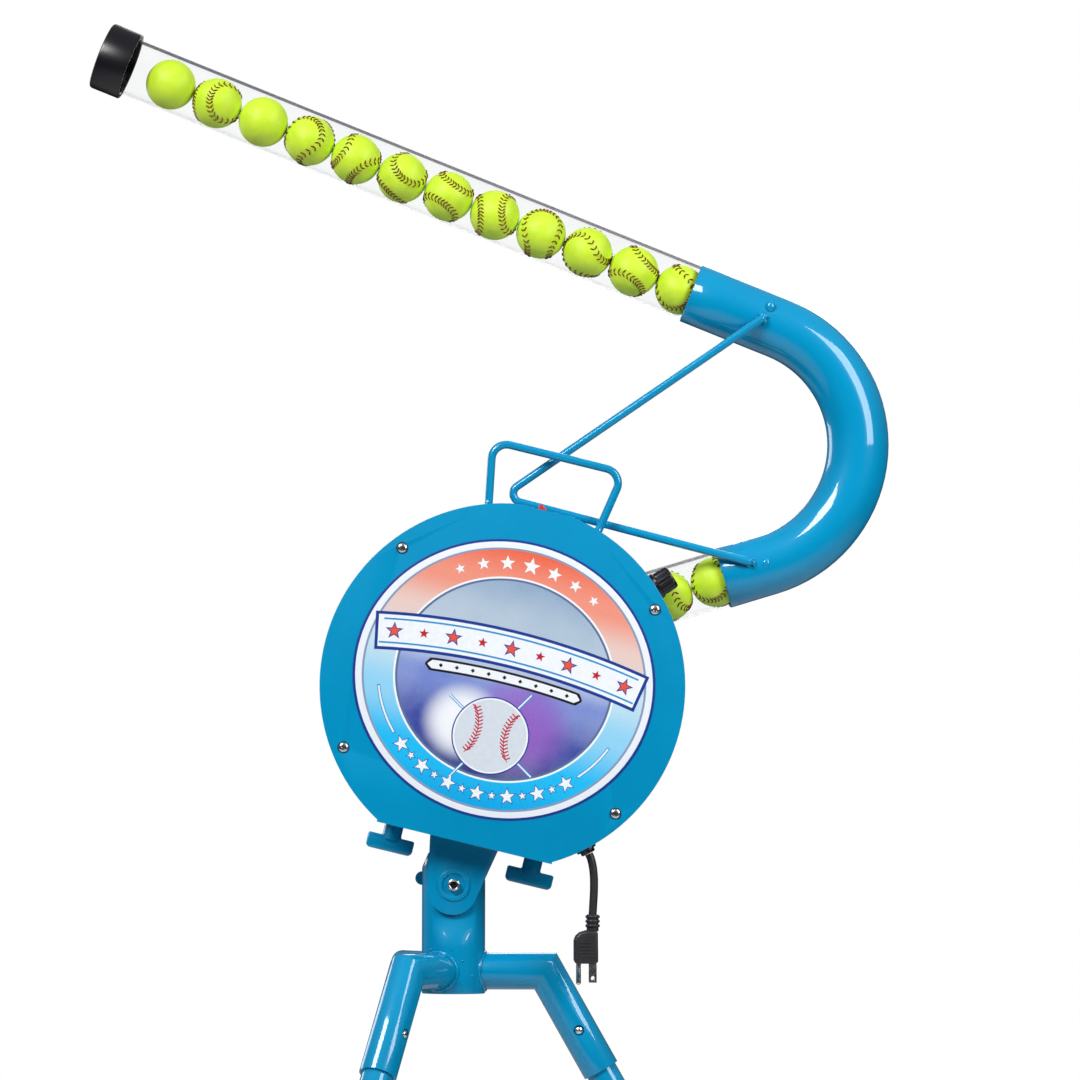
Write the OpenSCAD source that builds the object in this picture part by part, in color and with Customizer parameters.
// Small-ball pitching machine on a tripod.
// Floor at z = 0, post on the z axis, the ball is thrown towards -X, the covered side faces -Y.
// "Head" coordinates have their origin at the drum's centre: X towards the feed side, Z up,
// and the whole head leans back by rest_tilt about the pivot bolt.

/* [Balls] */
// Diameter of a practice ball
ball_d = 40.4; // [40:0.1:40.8]
// Balls waiting in the upper tube
column_balls = 12; // [6:1:12]

/* [Drum] */
// Radius of the front cover and rear plate
cover_r = 145.5; // [145:0.5:147]
// Radius of the rolled drum wall
drum_r = 144.5; // [144:0.1:144.5]
// Half of the drum's width
drum_half = 52; // [50:1:56]
// Sheet thickness of the drum, cover and rear plate
sheet = 2; // [1.5:0.1:2.2]
// Height of the top flat over the drum's centre
top_flat = 143.8; // [143.6:0.1:144]
// Depth of the bottom edge below the drum's centre
base_flat = 126.4; // [126:0.1:127]

/* [Feed tubes] */
// Outer diameter of the clear tubes
tube_d = 46; // [45.6:0.1:46.2]
// Inner diameter of the clear tubes
tube_bore = 43.6; // [43.2:0.1:43.8]
// Fall of the upper tube towards the elbow, in degrees
upper_fall = 8.25; // [7:0.25:9]
// Rise of the lower tube away from the drum, in degrees
lower_rise = 30.5; // [29:0.5:32]
// Outer diameter of the steel elbow
elbow_d = 49.6; // [49.4:0.1:50.8]
// Radius of the elbow's bend at its centre line
bend_r = 101.6; // [98:0.1:104]

/* [Wheel and rotor] */
// Radius of the throwing wheel with its tyre
wheel_r = 66; // [60:0.5:67]
// Radius of the feed rotor
rotor_r = 33; // [31:0.5:33]

/* [Tilt and swivel] */
// Nose-up lean of the head at rest, in degrees
rest_tilt = 13.6; // [0:0.1:16]
// Height of the tilt pivot above the floor
pivot_z = 829; // [760:1:900]
// Distance from the pivot up to the drum's centre
drum_up = 163; // [162:1:166]
// Distance of the clamp studs from the swivel bolt
stud_t = 57.6; // [56:0.1:58]

/* [Tripod] */
// Outer diameter of the post
post_d = 50.8; // [50:0.1:51]
// Outer diameter of the stubs and sockets
socket_d = 29.8; // [29.6:0.1:31]
// Outer diameter of the legs
leg_d = 25.4; // [25:0.1:25.4]
// Slope of the legs below the horizontal, in degrees
leg_slope = 60.5; // [58:0.5:64]

/* [Hidden] */
$fn = 96;
blue = [0, 0.56, 0.79];
clear = [0.8, 0.88, 0.92, 0.4];
black = [0.07, 0.07, 0.08];
steel = [0.76, 0.77, 0.79];
lime = [0.78, 0.92, 0.15];
run_fit = 0.05;     // radial play of a pin that turns or slides in its hole
gap = 0.3;          // space between faces of pieces that move past each other
eps = 0.01;
seam_half = 0.3;    // how far the seam of a bend and a straight stretch of pipe or rod reaches
seam_step = 0.02;   // difference of radius at a rod's seam, so that the faces don't coincide
elbow_step = 0.1;   // the same at the elbow's seams

// ---------- places in the head ----------
ball_r = ball_d / 2;
ball_pitch = ball_d + 0.05;
first_ball = [-376.5, 411.4];             // the ball next to the end cap
queue_ball = [77.8, 83];                  // the ball that waits at the rotor
ball_drop = 1.2;                          // ball centres run this far below the tubes' axes
upper_dir = [cos(upper_fall), -sin(upper_fall)];
lower_dir = [cos(lower_rise), sin(lower_rise)];
upper_up = [sin(upper_fall), cos(upper_fall)];
lower_up = [-sin(lower_rise), cos(lower_rise)];
upper_start = first_ball + ball_drop * upper_up;
lower_start = queue_ball + ball_drop * lower_up;
// The bend's centre lies one bend radius from both tubes' axes
axis_cross = cross2(lower_dir, upper_dir);
cross_gap = (upper_start - bend_r * upper_up) - (lower_start + bend_r * lower_up);
bend_c = lower_start + bend_r * lower_up + lower_dir * (cross2(cross_gap, upper_dir) / axis_cross);
bend_top = bend_c + bend_r * upper_up;
bend_low = bend_c - bend_r * lower_up;
bend_sweep = 180 - upper_fall - lower_rise;
elbow_bore = tube_d + 0.6;
elbow_top_len = 77;
elbow_low_len = 40;
last_ball = first_ball + (column_balls - 1) * ball_pitch * upper_dir;

wheel_c = [-22, -45];
wheel_half = 18;
shaft_r = 6;
exit_n = wheel_c[1] + wheel_r + ball_r - 1.5;     // height of the ball's way out
rotor_c = [45.3, 40.6];
rotor_half = 16;
rotor_shaft_r = 3.5;

drum_front = -drum_half;
drum_back = drum_half - sheet;
cover_face = drum_front - sheet;
plate_half = 71.5;
cover_flange = 18;
base_top = 115.9;
base_thick = 4;
yoke_top = base_top + base_thick + gap;
yoke_thick = 3.7;
yoke_low = yoke_top + yoke_thick;
screw_places = [[-103.6, 87.7], [103.6, 87.7], [-111.2, -77.4], [111.2, -77.4]];
screw_r = 2;
label_up = 5;

rod_d = 6.5;
brace_y = -(elbow_d / 2 + rod_d / 2 - 0.3);
handle_y = -41;

knob_at = 46.7;     // angle of the speed knob round the rim
knob_y = -38;
rocker_t = -2;
rocker_y = -42;
gland_at = -49;     // angle of the cord gland round the rim
gland_y = -42;

stud_r = 4;
bolt_r = 3;
flat_half = 19;
flat_drop = 28;
ear_thick = 4;
ear_in = flat_half + 0.4;
ear_out = ear_in + ear_thick;
ear_top_half = 29;
ear_round = 20;
ear_round_drop = 4;

post_wall = 2.4;
post_low = pivot_z - 87;
stub_z = pivot_z - 69;
mitre_r = 73.9;
socket_len = 91;
socket_bore = leg_d + 0.4;
button_at = 54;     // distance down the socket from the mitre
button_r = 3.2;
leg_in = 16;
foot_r = 16;
foot_grip = 34;
leg_wall = 1.6;
// The leg stops just above the floor, inside its rubber foot
leg_out = (stub_z - leg_d / 2 * cos(leg_slope) - 4) / sin(leg_slope);
// Direction of each leg round the post, and the side its snap button faces
rear_leg = 0;
left_leg = -120;
right_leg = 120;

// Route of the power cord in the machine's own frame: short pigtail from the gland to the plug
cord_d = 6.5;
cord_points = [[107.5, -42, 854], [108.9, -42, 851], [109.9, -42, 847.5], [110.6, -42, 844],
               [111.1, -42, 840.5], [111.4, -42, 837], [111.6, -42, 833.5], [111.6, -42, 830],
               [111.6, -42, 826.5], [111.5, -42, 823], [111.3, -42, 819.5], [111.1, -42, 816],
               [110.9, -42, 812.5], [110.7, -42, 809], [110.5, -42, 806]];
cord_sides = 10;
plug_top = [110.5, -42, 806];

// ---------- helpers ----------
function cross2(a, b) = a[0] * b[1] - a[1] * b[0];
function unit(v) = v / norm(v);

// Stands children in the head's frame
module in_head() {
    translate([0, 0, pivot_z]) rotate([0, rest_tilt, 0]) translate([0, 0, drum_up]) children();
}

// Draws a shape of the XY plane in the head's X-Z plane at depth y
module upright(y = 0) {
    translate([0, y, 0]) rotate([90, 0, 0]) children();
}

// Straight round bar in the head's X-Z plane from p along dir
module bar(p, dir, from, to, r, y = 0) {
    translate([p[0] + from * dir[0], y, p[1] + from * dir[1]])
        rotate([0, 90 - atan2(dir[1], dir[0]), 0]) cylinder(h = to - from, r = r);
}

// Round bar along Y at p = [x, z]
module cross_bar(p, y0, y1, r) {
    translate([p[0], y0, p[1]]) rotate([-90, 0, 0]) cylinder(h = y1 - y0, r = r);
}

// Round bar pointing out of the rim at an angle
module rim_bar(angle, y, r0, r1, r) {
    bar([0, 0], [cos(angle), sin(angle)], r0, r1, r, y);
}

// Hair-thin ring where a straight stretch runs into a bend, so that both are one solid
module joint_ring(r) {
    translate([0, 0, -seam_half]) cylinder(h = 2 * seam_half, r = r + seam_step);
}

// One bend of a rod in the XY plane at p1, between p0 and p2
module rod_bend(p0, p1, p2, r, d) {
    u = unit(p1 - p0);
    v = unit(p2 - p1);
    turn = atan2(cross2(u, v), u * v);
    side = sign(turn);
    centre = p1 - u * r * tan(abs(turn) / 2) + side * r * [-u[1], u[0]];
    start = side > 0 ? atan2(-u[0], u[1]) : atan2(v[0], -v[1]);
    translate(centre) rotate([0, 0, start])
        rotate_extrude(angle = abs(turn)) translate([r, 0]) circle(d = d);
}

// Round rod bent in the XY plane along points, with the same bend radius at each inner point
module bent_rod(points, r, d) {
    last = len(points) - 1;
    cut = [for (i = [0:last]) i == 0 || i == last ? 0
           : r * tan(abs(atan2(cross2(unit(points[i] - points[i - 1]), unit(points[i + 1] - points[i])),
                               unit(points[i] - points[i - 1]) * unit(points[i + 1] - points[i]))) / 2)];
    for (i = [1:last]) {
        u = unit(points[i] - points[i - 1]);
        translate(points[i - 1] + cut[i - 1] * u) rotate([0, 0, atan2(u[1], u[0])]) rotate([0, 90, 0])
            union() {
                cylinder(h = norm(points[i] - points[i - 1]) - cut[i - 1] - cut[i], d = d);
                if (i > 1) joint_ring(d / 2);
                if (i < last) translate([0, 0, norm(points[i] - points[i - 1]) - cut[i - 1] - cut[i]])
                    joint_ring(d / 2);
            }
    }
    for (i = [1:last - 1]) rod_bend(points[i - 1], points[i], points[i + 1], r, d);
}

// Round tube swept along points, closed at both ends
module swept_tube(points, d, sides) {
    n = len(points);
    ahead = [for (i = [0:n - 1]) unit(points[min(i + 1, n - 1)] - points[max(i - 1, 0)])];
    across = [for (a = ahead) unit(cross(a, [0, 1, 0]))];
    rings = [for (i = [0:n - 1]) for (k = [0:sides - 1])
             points[i] + d / 2 * (cos(360 * k / sides) * across[i]
                                  + sin(360 * k / sides) * cross(ahead[i], across[i]))];
    skin = [for (i = [0:n - 2]) for (k = [0:sides - 1])
            let (a = i * sides + k, b = i * sides + (k + 1) % sides) [a, a + sides, b + sides, b]];
    first = [for (k = [0:sides - 1]) k];
    end = [for (k = [sides - 1:-1:0]) (n - 1) * sides + k];
    polyhedron(rings, concat(skin, [first, end]));
}

// Disc of the cover or rear plate with its flat top and bottom
module plate_outline(r) {
    intersection() {
        circle(r = r);
        translate([-r, -base_flat]) square([2 * r, base_flat + top_flat]);
    }
}

// Plate with its folded bottom flange, lying in y0..y0+sheet; the flange runs towards side
module drum_plate(y0, side) {
    difference() {
        union() {
            upright(y0 + sheet) linear_extrude(sheet) plate_outline(cover_r);
            translate([-plate_half, side > 0 ? y0 : y0 + sheet - cover_flange, -base_flat - sheet])
                cube([2 * plate_half, cover_flange, sheet]);
        }
        for (p = screw_places) cross_bar(p, y0 - 1, y0 + sheet + 1, screw_r + 0.2);
    }
}

// Pan-head screws; head on the outside, shank towards side
module plate_screws(face, side) {
    for (p = screw_places) {
        cross_bar(p, side > 0 ? face - 2.2 : face - 8, side > 0 ? face + 8 : face + 2.2, screw_r - 0.05);
        cross_bar(p, side > 0 ? face - 2.2 : face, side > 0 ? face : face + 2.2, 4.1);
    }
}

// Stands children beside the post for a leg that points along angle
module leg_side(angle) {
    translate([0, 0, stub_z]) rotate([0, 0, angle]) children();
}

// Stands children along a leg: origin at the mitre, Z down the leg
module along_leg(angle) {
    leg_side(angle) translate([mitre_r, 0, 0]) rotate([0, 90 + leg_slope, 0]) children();
}

// The half of space beyond the mitre plane, seen from the stub
module past_mitre() {
    translate([mitre_r, 0, 0]) rotate([0, leg_slope / 2, 0]) translate([0, -40, -60]) cube([120, 80, 120]);
}

// Socket weldment without its button hole
module mitred_pipe(r, from, len) {
    difference() {
        translate([from, 0, 0]) rotate([0, 90, 0]) cylinder(h = mitre_r - from + 30, r = r);
        past_mitre();
    }
    intersection() {
        translate([mitre_r, 0, 0]) rotate([0, 90 + leg_slope, 0])
            translate([0, 0, -30]) cylinder(h = len + 30, r = r);
        past_mitre();
    }
}

// ---------- tripod ----------
module post_section(z0, z1, half, r) {
    intersection() {
        translate([0, 0, z0]) cylinder(h = z1 - z0, r = r);
        translate([-r - 1, -half, z0]) cube([2 * r + 2, 2 * half, z1 - z0]);
    }
}

module post() {
    r = post_d / 2;
    top = pivot_z + 26;
    flat_z = pivot_z - flat_drop;
    color(blue) difference() {
        union() {
            translate([0, 0, post_low]) cylinder(h = flat_z - post_low, r = r);
            post_section(flat_z, top, flat_half, r);
        }
        translate([0, 0, post_low - 1]) cylinder(h = flat_z - 3 - post_low + 1, r = r - post_wall);
        post_section(flat_z - 4, top + 1, flat_half - post_wall, r - post_wall);
        cross_bar([0, pivot_z], -r - 1, r + 1, bolt_r + run_fit);
        for (s = [-1, 1]) translate([s * 26.8, 0, pivot_z + 11]) rotate([0, s * -24, 0])
            translate([s > 0 ? 0 : -20, -30, 0]) cube([20, 60, 40]);
    }
}

module leg_socket(angle, face) {
    color(blue) difference() {
        leg_side(angle) mitred_pipe(socket_d / 2, 0, socket_len);
        cylinder(h = 2 * pivot_z, r = post_d / 2);
        leg_side(angle) mitred_pipe(socket_bore / 2, post_d / 2 - 2, socket_len + 1);
        along_leg(angle) translate([0, 0, button_at]) rotate([-90 * face, 0, 0])
            cylinder(h = socket_d, r = 4.25);
    }
}

module leg_tube(angle, face) {
    color(blue) along_leg(angle) difference() {
        translate([0, 0, leg_in]) cylinder(h = leg_out - leg_in, d = leg_d);
        translate([0, 0, leg_in - 1]) cylinder(h = leg_out - leg_in + 2, r = leg_d / 2 - leg_wall);
        translate([0, 0, button_at]) rotate([-90 * face, 0, 0]) cylinder(h = leg_d, r = button_r + run_fit);
    }
}

module foot(angle) {
    color(black) intersection() {
        along_leg(angle) difference() {
            translate([0, 0, leg_out - foot_grip]) cylinder(h = foot_grip + 60, r = foot_r);
            translate([0, 0, leg_out - foot_grip - 1]) cylinder(h = foot_grip + 1, d = leg_d);
        }
        rotate([0, 0, angle]) translate([0, -100, 0]) cube([1000, 200, 300]);
    }
}

// Domed button that pokes through the leg and the socket, with its stop collar inside the leg
module snap_button(angle, face) {
    collar = leg_d / 2 - leg_wall - 1.6;
    tip = socket_d / 2 + 0.9;
    color(steel) along_leg(angle) translate([0, 0, button_at]) rotate([-90 * face, 0, 0]) {
        translate([0, 0, collar - 4]) cylinder(h = tip - 1.4 - collar + 4, r = button_r);
        translate([0, 0, tip - 1.4]) intersection() {
            cylinder(h = 1.4, r = button_r);
            translate([0, 0, -3]) sphere(r = 4.4);
        }
        translate([0, 0, collar - 0.8]) cylinder(h = 1.2, r = button_r + 1);
    }
}

module leg_socket_rear() { leg_socket(rear_leg, -1); }
module leg_socket_left() { leg_socket(left_leg, 1); }
module leg_socket_right() { leg_socket(right_leg, 1); }
module leg_tube_rear() { leg_tube(rear_leg, -1); }
module leg_tube_left() { leg_tube(left_leg, 1); }
module leg_tube_right() { leg_tube(right_leg, 1); }
module foot_rear() { foot(rear_leg); }
module foot_left() { foot(left_leg); }
module foot_right() { foot(right_leg); }
module snap_button_rear() { snap_button(rear_leg, -1); }
module snap_button_left() { snap_button(left_leg, 1); }
module snap_button_right() { snap_button(right_leg, 1); }

// ---------- tilt pivot ----------
// Socket-head bolt along Y, its head on the covered side
module pivot_bolt() {
    head_y = -ear_out - gap;
    color(steel) difference() {
        union() {
            cross_bar([0, pivot_z], head_y - 5, head_y, 4.7);
            cross_bar([0, pivot_z], head_y, ear_out + 15, bolt_r);
        }
        translate([0, head_y - 5 - eps, pivot_z]) rotate([-90, 0, 0]) cylinder(h = 3, d = 5.8, $fn = 6);
    }
}

module pivot_washers() {
    color(steel) difference() {
        cross_bar([0, pivot_z], ear_out + gap, ear_out + gap + 1.6, 9);
        cross_bar([0, pivot_z], ear_out, ear_out + 3, bolt_r);
    }
}

// Clamp lever for the tilt, screwed on the pivot bolt's far end; its long arm points forward
module tilt_handle() {
    hub_y = ear_out + gap + 1.6 + gap;
    long_arm = 26;
    short_arm = 12;
    color(blue) difference() {
        union() {
            cross_bar([0, pivot_z], hub_y, hub_y + 16, 8);
            translate([0, 0, pivot_z]) rotate([0, 11, 0]) {
                translate([-long_arm, hub_y + 12, -5.5]) cube([long_arm + short_arm, 11, 11]);
                for (t = [-long_arm, short_arm]) cross_bar([t, 0], hub_y + 12, hub_y + 23, 5.5);
            }
        }
        cross_bar([0, pivot_z], hub_y - 1, ear_out + 15.5, bolt_r + run_fit);
    }
}

// One ear of the tilt bracket, in the XY plane with the pivot at the drum's centre less drum_up
module ear_outline() {
    edge = 13.7;
    c = -drum_up - ear_round_drop;
    polygon([[-ear_top_half, -yoke_low + 1], [ear_top_half, -yoke_low + 1],
             [ear_round * cos(edge), c - ear_round * sin(edge)],
             [-ear_round * cos(edge), c - ear_round * sin(edge)]]);
    translate([0, c]) circle(r = ear_round);
}

// Curved slot about the swivel axis, at the clamp studs
module arc_slot(start) {
    half = 13;
    slot_r = stud_r + 0.5;
    rotate([0, 0, start - half]) rotate_extrude(angle = 2 * half)
        translate([stud_t - slot_r, -10]) square([2 * slot_r, 20]);
    for (s = [-1, 1]) rotate([0, 0, start + s * half])
        translate([stud_t, 0, -10]) cylinder(h = 20, r = slot_r);
}

// Clevis under the drum: turntable plate with curved slots and two ears beside the post
module tilt_bracket() {
    color(blue) in_head() difference() {
        union() {
            intersection() {
                translate([0, 0, -yoke_low]) cylinder(h = yoke_thick, r = 67);
                translate([-80, -32, -yoke_low]) cube([160, 64, yoke_thick]);
            }
            upright(-ear_in) linear_extrude(ear_thick) ear_outline();
            upright(ear_out) linear_extrude(ear_thick) ear_outline();
            cross_bar([0, -drum_up], -ear_out - 1.4, -ear_out + 1, 12.5);
        }
        cross_bar([0, -drum_up], -ear_out - 3, -ear_out, 9.5);
        cross_bar([0, -drum_up], -ear_out - 3, ear_out + 1, bolt_r + run_fit);
        translate([0, 0, -yoke_low - 1]) cylinder(h = yoke_thick + 2, r = 5 + run_fit);
        translate([0, 0, -yoke_low]) {
            arc_slot(0);
            arc_slot(180);
        }
    }
}

// Shoulder bolt that the head swivels on, with its thin nut under the plate
module swivel_bolt() {
    color(steel) in_head() {
        translate([0, 0, -yoke_low - 4.5]) cylinder(h = yoke_low + 4.5 - base_top + 5, r = 5);
        translate([0, 0, -base_top]) cylinder(h = 5, r = 9);
        translate([0, 0, -yoke_low - gap - 4.2]) cylinder(h = 4.2, r = 8, $fn = 6);
    }
}

module clamp_studs() {
    color(steel) in_head() for (s = [-1, 1]) translate([s * stud_t, 0, 0]) {
        translate([0, 0, -138]) cylinder(h = 138 - base_top + 1, r = stud_r);
        translate([0, 0, -base_top]) cylinder(h = 4, r = 8);
    }
}

// T-knob on a clamp stud; its shoulder clamps the bracket against the base plate
module t_knob(t) {
    shoulder = -yoke_low - gap;
    bar_low = -149.5;
    bar_high = -137.2;
    half = 19;
    color(blue) in_head() translate([t, 0, 0]) difference() {
        union() {
            translate([0, 0, bar_low + 2]) cylinder(h = shoulder - bar_low - 2, r = 7.65);
            upright(6.5) linear_extrude(13) polygon([
                [-half, bar_high], [-half, bar_low + 4], [-half + 1, bar_low + 1.5], [-half + 3.5, bar_low],
                [half - 3.5, bar_low], [half - 1, bar_low + 1.5], [half, bar_low + 4], [half, bar_high]]);
        }
        translate([0, 0, -138.5]) cylinder(h = 40, r = stud_r + run_fit);
    }
}
module t_knob_front() { t_knob(-stud_t); }
module t_knob_rear() { t_knob(stud_t); }

// ---------- drum ----------
// Lengthwise bar shape of the lower tube's way through the drum wall
module inlet_way(r) {
    bar(lower_start, lower_dir, -10, 90, r);
}

module drum_shell() {
    inner = drum_r - sheet;
    color(blue) in_head() difference() {
        union() {
            difference() {
                upright(drum_back) linear_extrude(drum_back - drum_front) intersection() {
                    circle(r = drum_r);
                    translate([-drum_r, -base_flat]) square([2 * drum_r, base_flat + top_flat - 0.3]);
                }
                upright(drum_back + 1) linear_extrude(drum_back - drum_front + 2) intersection() {
                    circle(r = inner);
                    translate([-drum_r, -drum_r]) square([2 * drum_r, drum_r + top_flat - 0.3 - sheet]);
                }
            }
            // tabs that the cover and rear plate screw into
            for (p = screw_places) for (y = [drum_front + 0.2, drum_back - 3.2])
                translate([0, y, 0]) rotate([0, -atan2(p[1], p[0]), 0])
                    translate([norm(p) - 8, 0, -8]) cube([16, 3, 16]);
        }
        for (p = screw_places) cross_bar(p, drum_front - 1, drum_back + 1, screw_r);
        inlet_way(tube_d / 2 + 0.2);
        translate([-160, -22, exit_n - 24.5]) cube([60, 44, 49]);
        rim_bar(knob_at, knob_y, 130, 150, 3.6);
        rim_bar(gland_at, gland_y, 130, 150, 6.1);
        translate([rocker_t - 5.6, rocker_y - 6.1, 130]) cube([11.2, 12.2, 20]);
    }
}

// Thick base inside the drum's bottom that the bracket turns against
module base_plate() {
    color(steel) in_head() difference() {
        translate([-76.5, drum_front + 0.5, -base_top - base_thick])
            cube([153, drum_back - drum_front - 1, base_thick]);
        translate([0, 0, -base_top - base_thick - 1]) cylinder(h = base_thick + 2, r = 5);
        for (s = [-1, 1]) translate([s * stud_t, 0, -base_top - base_thick - 1])
            cylinder(h = base_thick + 2, r = stud_r);
    }
}

module front_cover() {
    color(blue) in_head() drum_plate(cover_face, 1);
}

// Thin oval label plate
module front_label() {
    color("white") in_head() translate([0, 0, label_up]) upright(cover_face)
        linear_extrude(0.4) scale([121, 111.5]) circle(r = 1);
}

module cover_screws() {
    color(steel) in_head() plate_screws(cover_face, 1);
}

module rear_plate() {
    color(blue) in_head() difference() {
        drum_plate(drum_back, -1);
        cross_bar(wheel_c, drum_back - 1, drum_back + 3, 14);
        for (a = [45:90:315])
            cross_bar(wheel_c + 30 * [cos(a), sin(a)], drum_back - 1, drum_back + 3, 2.2);
    }
}

module rear_screws() {
    color(steel) in_head() plate_screws(drum_half, -1);
}

module carry_handle() {
    color(blue) in_head() upright(handle_y)
        bent_rod([[-44.7, 136.5], [-54, 189], [54, 189], [44.7, 136.5]], 12, rod_d);
}

// V-shaped brace from the top of the elbow over the drum and back to the elbow's foot
module brace_rod() {
    color(blue) in_head() upright(brace_y)
        bent_rod([[133, 337.5], [-36.7, 147.6], [168.3, 144.4]], 7, rod_d);
}

// ---------- ball feed ----------
// Straight end of the elbow, a hair thinner than the bend whose wall it reaches into
module elbow_end(p, dir, len) {
    difference() {
        bar(p, dir, -seam_half, len, elbow_d / 2 - elbow_step);
        bar(p, dir, -1, len + 1, elbow_bore / 2 + elbow_step);
    }
}

module feed_elbow() {
    color(blue) in_head() {
        upright() translate(bend_c) rotate([0, 0, lower_rise - 90])
            rotate_extrude(angle = bend_sweep) translate([bend_r, 0]) difference() {
                circle(r = elbow_d / 2);
                circle(r = elbow_bore / 2);
            }
        elbow_end(bend_top, -upper_dir, elbow_top_len);
        elbow_end(bend_low, -lower_dir, elbow_low_len);
    }
}

module straight_tube(p, dir, from, to) {
    difference() {
        bar(p, dir, from, to, tube_d / 2);
        bar(p, dir, from - 1, to + 1, tube_bore / 2);
    }
}

module upper_tube() {
    color(clear) in_head() straight_tube(upper_start, upper_dir, -55, 482);
}

module lower_tube() {
    color(clear) in_head() straight_tube(lower_start, lower_dir, 23, 115);
}

// Cap over the upper tube's open end
module end_cap() {
    color(black) in_head() difference() {
        bar(upper_start, upper_dir, -61, -35.5, 27.7);
        bar(upper_start, upper_dir, -55.2, -30, tube_d / 2 + 0.08);
    }
}

module ball(p) {
    translate([p[0], 0, p[1]]) sphere(r = ball_r);
}

module ball_column() {
    color(lime) in_head() for (i = [0:column_balls - 1]) ball(first_ball + i * ball_pitch * upper_dir);
}

// Place on the feed's centre line, s past the ball that waits at the rotor
low_run = (bend_low - lower_start) * lower_dir;
bend_run = bend_sweep * PI / 180 * bend_r;
top_run = (bend_top - last_ball) * upper_dir;
function feed_place(s) =
    s < low_run ? queue_ball + s * lower_dir
    : s < low_run + bend_run ? let (a = lower_rise - 90 + (s - low_run) * 180 / PI / bend_r)
        bend_c + (bend_r + 0.3) * [cos(a), sin(a)]
    : bend_top - (s - low_run - bend_run) * upper_dir;

// Balls from the rotor up through the elbow; the hidden ones share out the slack evenly
module queued_balls() {
    touching = 3;
    whole = low_run + bend_run + top_run;
    hidden = floor((whole - touching * ball_pitch) / (ball_pitch + 0.4));
    step = (whole - (touching - 1) * ball_pitch) / (hidden + 1);
    color(lime) in_head() {
        for (i = [0:touching - 1]) ball(feed_place(i * ball_pitch));
        for (i = [1:hidden]) ball(feed_place((touching - 1) * ball_pitch + i * step));
    }
}

// Half pipe that leads the balls from the lower tube to the rotor
module feed_chute() {
    chute_r = tube_d / 2;
    color(steel) in_head() {
        difference() {
            bar(lower_start, lower_dir, -4, 22, chute_r);
            bar(lower_start, lower_dir, -5, 23, tube_bore / 2);
            translate([lower_start[0], 0, lower_start[1]]) rotate([0, -lower_rise, 0])
                translate([-50, -50, -8]) cube([100, 100, 100]);
        }
        cross_bar(lower_start + 10 * lower_dir - (chute_r + 1) * lower_up, 6, drum_back, 3.5);
    }
}

// Metering rotor with one ball pocket, and its drive shaft
module feed_rotor() {
    color("orangered") in_head() difference() {
        union() {
            cross_bar(rotor_c, -rotor_half, rotor_half, rotor_r);
            cross_bar(rotor_c, rotor_half, 30, rotor_shaft_r);
        }
        cross_bar(rotor_c + (rotor_r + 2) * [-0.8, 0.6], -rotor_half - 1, rotor_half + 1, ball_r + 0.6);
    }
}

// Slow synchronous motor behind the rotor
module rotor_motor() {
    color(steel) in_head() difference() {
        union() {
            cross_bar(rotor_c, 26, drum_back, 25);
            cross_bar(rotor_c, 22, 26, 8);
        }
        cross_bar(rotor_c, 21, 31, rotor_shaft_r + run_fit);
    }
}

// Arc of a round pipe wall about c in the head's X-Z plane
module arc_wall(c, r0, r1, from, to, y0, y1) {
    translate([0, y1, 0]) rotate([90, 0, 0]) translate(c) rotate([0, 0, from])
        rotate_extrude(angle = to - from) translate([r0, 0]) square([r1 - r0, y1 - y0]);
}

guide_r = wheel_r + ball_d - 3;
guide_from = 78;
guide_to = 106;

// Curved backing plate that presses the ball against the wheel
module ball_guide() {
    color(steel) in_head() {
        arc_wall(wheel_c, guide_r + 4, guide_r + 7, guide_from, guide_to, -20, 24);
        arc_wall(wheel_c, guide_r + 7, guide_r + 17, guide_from, guide_to, 21, 24);
        for (a = [guide_from + 4, guide_to - 4])
            cross_bar(wheel_c + (guide_r + 12) * [cos(a), sin(a)], 24, drum_back, 4);
    }
}

module guide_pad() {
    color(black) in_head() arc_wall(wheel_c, guide_r, guide_r + 4, guide_from, guide_to, -18, 18);
}

module wheel_hub() {
    rim = wheel_r - 13;
    color(steel) in_head() difference() {
        union() {
            cross_bar(wheel_c, -5, 5, rim);
            cross_bar(wheel_c, -14, 14, 17);
            difference() {
                cross_bar(wheel_c, -wheel_half, wheel_half, rim);
                cross_bar(wheel_c, -wheel_half - 1, wheel_half + 1, rim - 6);
            }
        }
        cross_bar(wheel_c, -20, 20, shaft_r);
        for (a = [30:60:330])
            cross_bar(wheel_c + 32 * [cos(a), sin(a)], -10, 10, 8);
    }
}

module wheel_tyre() {
    color(black) in_head() difference() {
        cross_bar(wheel_c, -wheel_half, wheel_half, wheel_r);
        cross_bar(wheel_c, -wheel_half - 1, wheel_half + 1, wheel_r - 13);
    }
}

module wheel_shaft() {
    color(steel) in_head() {
        cross_bar(wheel_c, -26, 95, shaft_r);
        cross_bar(wheel_c, 14, 20, shaft_r + 3);
    }
}

module wheel_nut() {
    color(steel) in_head() difference() {
        translate([wheel_c[0], -20, wheel_c[1]]) rotate([-90, 0, 0]) cylinder(h = 6, r = 10, $fn = 6);
        cross_bar(wheel_c, -21, -13, shaft_r);
    }
}

motor_y = drum_half;
motor_len = 84;
motor_r = 39;

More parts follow.
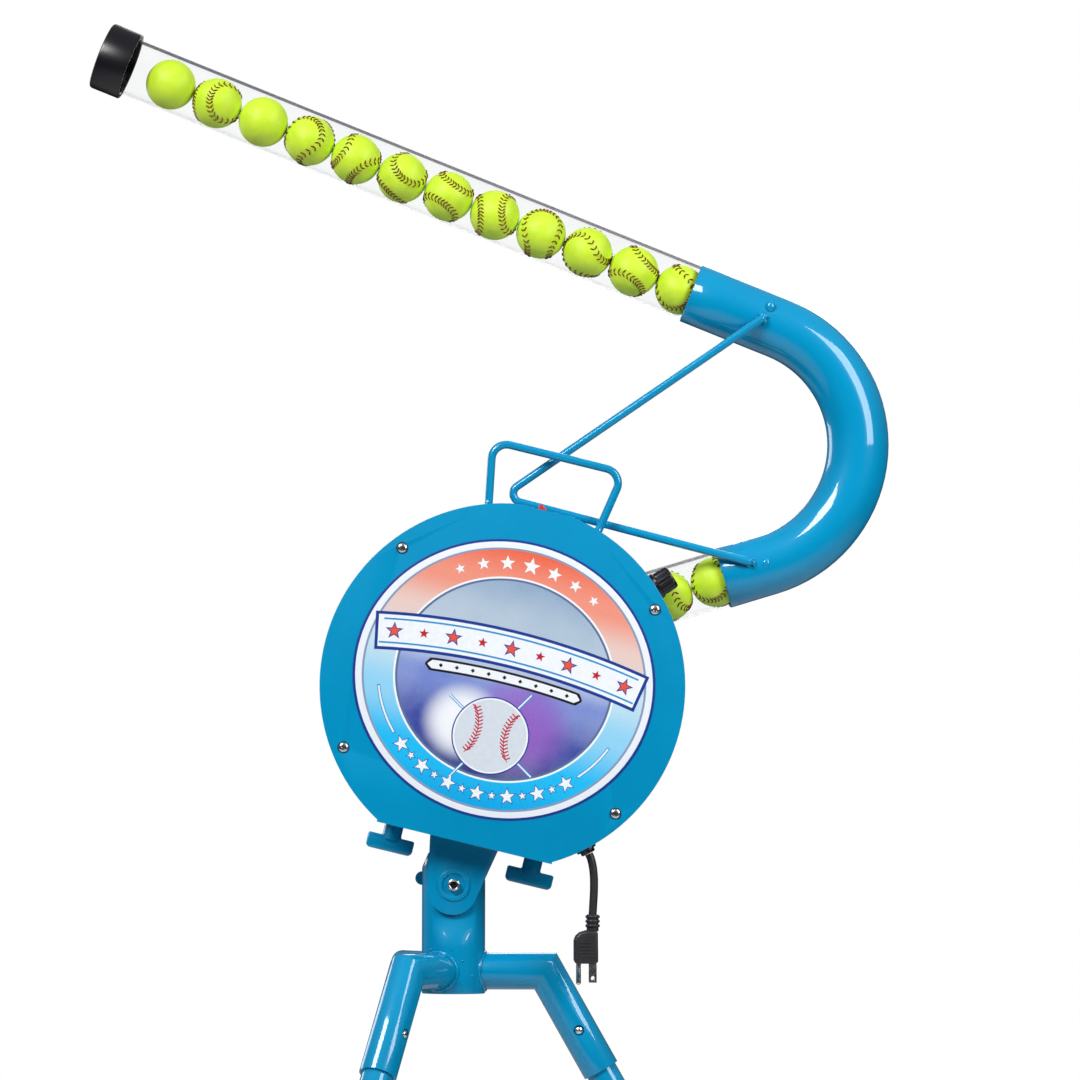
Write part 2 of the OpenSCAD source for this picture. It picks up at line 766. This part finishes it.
// Main motor on the outside of the rear plate
module drive_motor() {
    color(black) in_head() difference() {
        union() {
            cross_bar(wheel_c, motor_y, motor_y + motor_len, motor_r);
            cross_bar(wheel_c, motor_y + motor_len, motor_y + motor_len + 7, 16);
        }
        cross_bar(wheel_c, motor_y - 1, 96, shaft_r + run_fit);
        cross_bar(wheel_c, motor_y - 1, motor_y + 9, 14);
        for (a = [45:90:315])
            cross_bar(wheel_c + 30 * [cos(a), sin(a)], motor_y - 1, motor_y + 12, 2.05);
    }
}

module motor_bearing() {
    color(steel) in_head() difference() {
        cross_bar(wheel_c, motor_y + 1, motor_y + 9, 14);
        cross_bar(wheel_c, motor_y, motor_y + 10, shaft_r + run_fit);
    }
}

module motor_screws() {
    color(steel) in_head() for (a = [45:90:315]) {
        p = wheel_c + 30 * [cos(a), sin(a)];
        cross_bar(p, drum_back - 2.4, drum_back, 4);
        cross_bar(p, drum_back - 2.4, motor_y + 11, 2);
    }
}

// ---------- controls and wiring ----------
board_c = [-28, 104];

// Speed and power board with its large parts
module control_board() {
    color("darkgreen") in_head() translate([board_c[0], 0, board_c[1]]) {
        translate([-34, 36, -19]) cube([68, 1.6, 38]);
        translate([-28, 16, -12]) cube([18, 20, 24]);
        translate([-4, 20, -14]) cube([14, 16, 20]);
        for (x = [16, 27]) translate([x, 18, 0]) rotate([-90, 0, 0]) cylinder(h = 18, r = 5);
    }
}

module board_spacers() {
    color(steel) in_head() for (x = [-30, 30]) for (z = [-15, 15])
        cross_bar(board_c + [x, z], 37.6, drum_back, 3);
}

// Rotary control inside the rim, with its bush and shaft
module speed_control() {
    color(steel) in_head() {
        rim_bar(knob_at, knob_y, 124, 140, 8.2);
        rim_bar(knob_at, knob_y, 140, 146, 3.5);
        rim_bar(knob_at, knob_y, 146, 158, 3);
    }
}

module speed_knob() {
    color(black) in_head() difference() {
        union() {
            rim_bar(knob_at, knob_y, 146.5, 162, 9.8);
            rim_bar(knob_at, knob_y, 146.5, 149, 10.85);
        }
        rim_bar(knob_at, knob_y, 146, 158.5, 3 + run_fit);
        rim_bar(knob_at, knob_y, 146, 147.2, 5);
    }
}

rocker_z = 143;

// Switch housing under the top flat, with its thin bezel
module switch_body() {
    color(black) in_head() difference() {
        union() {
            translate([rocker_t - 5.5, rocker_y - 6, 124]) cube([11, 12, 20]);
            translate([rocker_t - 7, rocker_y - 7.5, top_flat - 0.3]) cube([14, 15, 0.8]);
        }
        translate([rocker_t - 4.9, rocker_y - 5.3, 136]) cube([9.8, 10.6, 20]);
        cross_bar([rocker_t, rocker_z], rocker_y - 6.6, rocker_y + 6.6, 1 + run_fit);
    }
}

// Two-way rocker, pressed down at its right end at rest
module power_rocker() {
    color("red") in_head() {
        upright(rocker_y + 4.9) linear_extrude(9.8) translate([rocker_t, rocker_z])
            polygon([[-4.2, -3.6], [2.6, -4], [4.2, 0.9], [-1.8, 5.6], [-4, 3.2]]);
        cross_bar([rocker_t, rocker_z], rocker_y - 5.9, rocker_y + 5.9, 1);
    }
}

module cord_gland() {
    color(black) in_head() {
        rim_bar(gland_at, gland_y, 138, 150, 6);
        rim_bar(gland_at, gland_y, 144.5, 147, 8.2);
    }
}

module power_cord() {
    color(black) swept_tube(cord_points, cord_d, cord_sides);
}

// Three-pin plug: ribbed collar and flat moulded body; prongs point down
module plug_body() {
    color(black) translate(plug_top) {
        for (z = [-3:-3.6:-12]) translate([0, 0, z]) cylinder(h = 2.4, d = 11.5);
        translate([0, 0, -13]) cylinder(h = 13, d = 9.6);
        translate([0, 11, 0]) rotate([90, 0, 0]) linear_extrude(22)
            polygon([[-5.5, -12.6], [4, -12.6], [4.3, -39], [-13.8, -39],
                     [-15, -36], [-15, -20.5], [-13.6, -17], [-10.5, -14.2]]);
    }
}

module plug_pins() {
    color(steel) translate(plug_top) {
        translate([-11.2, 0, -54]) cylinder(h = 15, d = 4);
        translate([-11.2, 0, -54]) sphere(d = 4);
        for (y = [-6.35, 6.35]) difference() {
            translate([-2.9, y - 0.75, -54]) cube([6, 1.5, 15]);
            translate([0.1, y - 2, -50.5]) rotate([-90, 0, 0]) cylinder(h = 4, r = 1.6);
        }
    }
}

post();
leg_socket_rear();
leg_socket_left();
leg_socket_right();
leg_tube_rear();
leg_tube_left();
leg_tube_right();
foot_rear();
foot_left();
foot_right();
snap_button_rear();
snap_button_left();
snap_button_right();
pivot_bolt();
pivot_washers();
tilt_handle();
tilt_bracket();
swivel_bolt();
clamp_studs();
t_knob_front();
t_knob_rear();
drum_shell();
base_plate();
front_cover();
front_label();
cover_screws();
rear_plate();
rear_screws();
carry_handle();
brace_rod();
feed_elbow();
upper_tube();
lower_tube();
end_cap();
ball_column();
queued_balls();
feed_chute();
feed_rotor();
rotor_motor();
ball_guide();
guide_pad();
wheel_hub();
wheel_tyre();
wheel_shaft();
wheel_nut();
drive_motor();
motor_bearing();
motor_screws();
control_board();
board_spacers();
speed_control();
speed_knob();
switch_body();
power_rocker();
cord_gland();
power_cord();
plug_body();
plug_pins();
